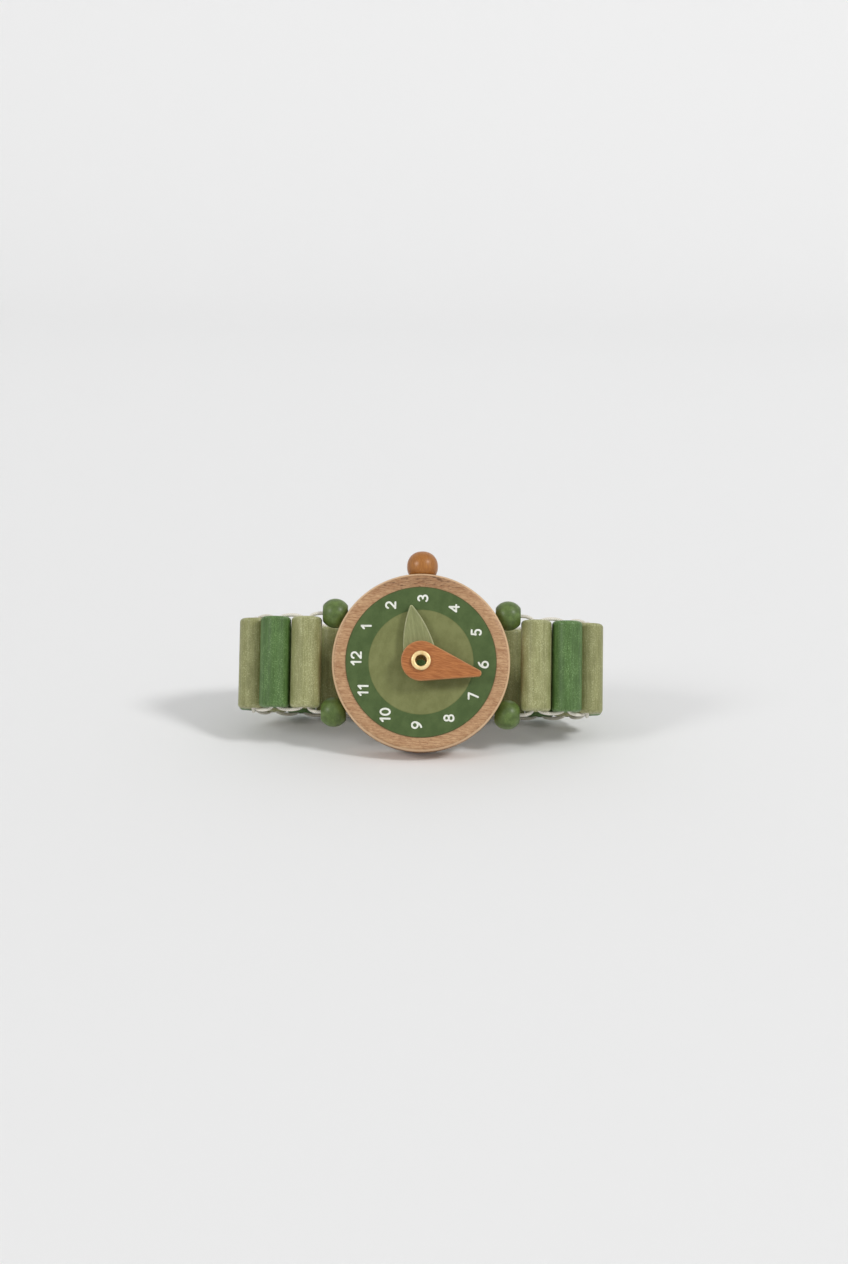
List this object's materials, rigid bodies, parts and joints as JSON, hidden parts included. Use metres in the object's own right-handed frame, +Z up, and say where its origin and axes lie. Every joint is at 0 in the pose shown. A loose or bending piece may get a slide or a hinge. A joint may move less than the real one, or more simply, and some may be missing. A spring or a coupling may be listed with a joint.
{
  "type": "toy watch",
  "caption": "Wooden pretend-play watch: round case with printed dial, loose hands on a brass eyelet, ball crown, and a stretch strap of painted tubes and beads on elastic.",
  "frame": {"origin": "on the table, under the middle of the watch as it lies on its side", "axes": "+X across the dial from twelve to six, along the strap; -Y the way the dial faces; +Z up, towards the crown"},
  "size_m": [0.084, 0.0412, 0.0438],
  "materials": {
    "case_wood": "clear matt lacquer over fine grain",
    "crown_wood": "honey stain, satin lacquer",
    "minute_paint": "orange-brown stain, matt",
    "hour_paint": "pale sage paint, matt",
    "dial_dark": "printed ink",
    "dial_pale": "printed ink",
    "bead_paint": "green paint, satin",
    "dark_tube_paint": "green paint, satin",
    "pale_tube_paint": "pale sage paint, satin",
    "eyelet_brass": "polished",
    "white_elastic": "braided cover over rubber"
  },
  "bodies": {
    "case": {"case": "case_wood", "dial_ring": "dial_dark", "dial_centre": "dial_pale", "eyelet": "eyelet_brass", "back_washer": "eyelet_brass", "crown_knob": "crown_wood", "crown_peg": "case_wood", "case_elastic": "white_elastic", "upper_right_bead": "bead_paint", "lower_right_bead": "bead_paint", "upper_left_bead": "bead_paint", "lower_left_bead": "bead_paint"},
    "hour_hand": {"hour_hand": "hour_paint"},
    "minute_hand": {"minute_hand": "minute_paint"},
    "right_link_1": {"right_tube_1": "pale_tube_paint", "right_elastic_1": "white_elastic"},
    "right_link_2": {"right_tube_2": "dark_tube_paint", "right_elastic_2": "white_elastic"},
    "right_link_3": {"right_tube_3": "pale_tube_paint", "right_elastic_3": "white_elastic"},
    "right_link_4": {"right_tube_4": "dark_tube_paint", "right_elastic_4": "white_elastic"},
    "right_link_5": {"right_tube_5": "pale_tube_paint", "right_elastic_5": "white_elastic"},
    "right_link_6": {"right_tube_6": "dark_tube_paint", "right_elastic_6": "white_elastic"},
    "right_link_7": {"right_tube_7": "pale_tube_paint", "right_elastic_7": "white_elastic"},
    "right_link_8": {"right_tube_8": "dark_tube_paint", "right_elastic_8": "white_elastic"},
    "right_link_9": {"right_tube_9": "pale_tube_paint", "right_elastic_9": "white_elastic"},
    "left_link_1": {"left_tube_1": "pale_tube_paint", "left_elastic_1": "white_elastic"},
    "left_link_2": {"left_tube_2": "dark_tube_paint", "left_elastic_2": "white_elastic"},
    "left_link_3": {"left_tube_3": "pale_tube_paint", "left_elastic_3": "white_elastic"},
    "left_link_4": {"left_tube_4": "dark_tube_paint", "left_elastic_4": "white_elastic"},
    "left_link_5": {"left_tube_5": "pale_tube_paint", "left_elastic_5": "white_elastic"},
    "left_link_6": {"left_tube_6": "dark_tube_paint", "left_elastic_6": "white_elastic"},
    "left_link_7": {"left_tube_7": "pale_tube_paint", "left_elastic_7": "white_elastic"},
    "left_link_8": {"left_tube_8": "dark_tube_paint", "left_elastic_8": "white_elastic"},
    "left_link_9": {"left_tube_9": "pale_tube_paint", "left_elastic_9": "white_elastic"},
    "back_link": {"back_tube": "dark_tube_paint"}
  },
  "joints": [
    {"name": "hour_hand_turn", "type": "hinge", "parent": "case", "child": "hour_hand", "pos_m": [0, -0.01357, 0.02155], "axis": [0, 0.9285, -0.3714], "continuous": true},
    {"name": "minute_hand_turn", "type": "hinge", "parent": "case", "child": "minute_hand", "pos_m": [0, -0.01357, 0.02155], "axis": [0, 0.9285, -0.3714], "continuous": true},
    {"name": "strap_flex", "type": "hinge", "parent": "case", "child": "right_link_1", "pos_m": [0.02602, -0.00842, 0.01949], "axis": [0, 0.3714, 0.9285], "range_deg": [0, 58.17]},
    {"name": "right_bend_2", "type": "hinge", "parent": "right_link_1", "child": "right_link_2", "pos_m": [0.03306, -0.00754, 0.01914], "axis": [0, 0.3714, 0.9285], "range_deg": [-22.32, 0]},
    {"name": "right_bend_3", "type": "hinge", "parent": "right_link_2", "child": "right_link_3", "pos_m": [0.03822, -0.00302, 0.01733], "axis": [0, 0.3714, 0.9285], "range_deg": [-30.22, 0]},
    {"name": "right_bend_4", "type": "hinge", "parent": "right_link_3", "child": "right_link_4", "pos_m": [0.03859, 0.00357, 0.0147], "axis": [0, 0.3714, 0.9285], "range_deg": [-24.57, 0]},
    {"name": "right_bend_5", "type": "hinge", "parent": "right_link_4", "child": "right_link_5", "pos_m": [0.03452, 0.00897, 0.01254], "axis": [0, 0.3714, 0.9285], "range_deg": [-13.72, 0]},
    {"name": "right_bend_6", "type": "hinge", "parent": "right_link_5", "child": "right_link_6", "pos_m": [0.02824, 0.01204, 0.01131], "axis": [0, 0.3714, 0.9285], "range_deg": [-2.82, 0]},
    {"name": "right_bend_7", "type": "hinge", "parent": "right_link_6", "child": "right_link_7", "pos_m": [0.02128, 0.01337, 0.01078], "axis": [0, 0.3714, 0.9285], "range_deg": [0, 5.5]},
    {"name": "right_bend_8", "type": "hinge", "parent": "right_link_7", "child": "right_link_8", "pos_m": [0.0142, 0.01379, 0.01061], "axis": [0, 0.3714, 0.9285], "range_deg": [0, 10.52]},
    {"name": "right_bend_9", "type": "hinge", "parent": "right_link_8", "child": "right_link_9", "pos_m": [0.0071, 0.01387, 0.01058], "axis": [0, 0.3714, 0.9285], "range_deg": [0, 12.78]},
    {"name": "left_bend_1", "type": "hinge", "parent": "case", "child": "left_link_1", "pos_m": [-0.02602, -0.00842, 0.01949], "axis": [0, 0.3714, 0.9285], "range_deg": [-58.17, 0]},
    {"name": "left_bend_2", "type": "hinge", "parent": "left_link_1", "child": "left_link_2", "pos_m": [-0.03306, -0.00754, 0.01914], "axis": [0, 0.3714, 0.9285], "range_deg": [0, 22.32]},
    {"name": "left_bend_3", "type": "hinge", "parent": "left_link_2", "child": "left_link_3", "pos_m": [-0.03822, -0.00302, 0.01733], "axis": [0, 0.3714, 0.9285], "range_deg": [0, 30.22]},
    {"name": "left_bend_4", "type": "hinge", "parent": "left_link_3", "child": "left_link_4", "pos_m": [-0.03859, 0.00357, 0.0147], "axis": [0, 0.3714, 0.9285], "range_deg": [0, 24.57]},
    {"name": "left_bend_5", "type": "hinge", "parent": "left_link_4", "child": "left_link_5", "pos_m": [-0.03452, 0.00897, 0.01254], "axis": [0, 0.3714, 0.9285], "range_deg": [0, 13.72]},
    {"name": "left_bend_6", "type": "hinge", "parent": "left_link_5", "child": "left_link_6", "pos_m": [-0.02824, 0.01204, 0.01131], "axis": [0, 0.3714, 0.9285], "range_deg": [0, 2.82]},
    {"name": "left_bend_7", "type": "hinge", "parent": "left_link_6", "child": "left_link_7", "pos_m": [-0.02128, 0.01337, 0.01078], "axis": [0, 0.3714, 0.9285], "range_deg": [-5.5, 0]},
    {"name": "left_bend_8", "type": "hinge", "parent": "left_link_7", "child": "left_link_8", "pos_m": [-0.0142, 0.01379, 0.01061], "axis": [0, 0.3714, 0.9285], "range_deg": [-10.52, 0]},
    {"name": "left_bend_9", "type": "hinge", "parent": "left_link_8", "child": "left_link_9", "pos_m": [-0.0071, 0.01387, 0.01058], "axis": [0, 0.3714, 0.9285], "range_deg": [-12.78, 0]},
    {"name": "back_bend", "type": "hinge", "parent": "right_link_9", "child": "back_link", "pos_m": [0, 0.01388, 0.01057], "axis": [0, 0.3714, 0.9285], "range_deg": [0, 6.67]}
  ],
  "couplings": [
    {"joint": "right_bend_2", "follows": "strap_flex", "ratio": -0.38356},
    {"joint": "right_bend_3", "follows": "strap_flex", "ratio": -0.51944},
    {"joint": "right_bend_4", "follows": "strap_flex", "ratio": -0.42228},
    {"joint": "right_bend_5", "follows": "strap_flex", "ratio": -0.23571},
    {"joint": "right_bend_6", "follows": "strap_flex", "ratio": -0.048447},
    {"joint": "right_bend_7", "follows": "strap_flex", "ratio": 0.094524},
    {"joint": "right_bend_8", "follows": "strap_flex", "ratio": 0.18082},
    {"joint": "right_bend_9", "follows": "strap_flex", "ratio": 0.21953},
    {"joint": "left_bend_1", "follows": "strap_flex", "ratio": -1},
    {"joint": "left_bend_2", "follows": "strap_flex", "ratio": 0.38356},
    {"joint": "left_bend_3", "follows": "strap_flex", "ratio": 0.51944},
    {"joint": "left_bend_4", "follows": "strap_flex", "ratio": 0.42228},
    {"joint": "left_bend_5", "follows": "strap_flex", "ratio": 0.23571},
    {"joint": "left_bend_6", "follows": "strap_flex", "ratio": 0.048447},
    {"joint": "left_bend_7", "follows": "strap_flex", "ratio": -0.094524},
    {"joint": "left_bend_8", "follows": "strap_flex", "ratio": -0.18082},
    {"joint": "left_bend_9", "follows": "strap_flex", "ratio": -0.21953},
    {"joint": "back_bend", "follows": "strap_flex", "ratio": 0.11455}
  ]
}
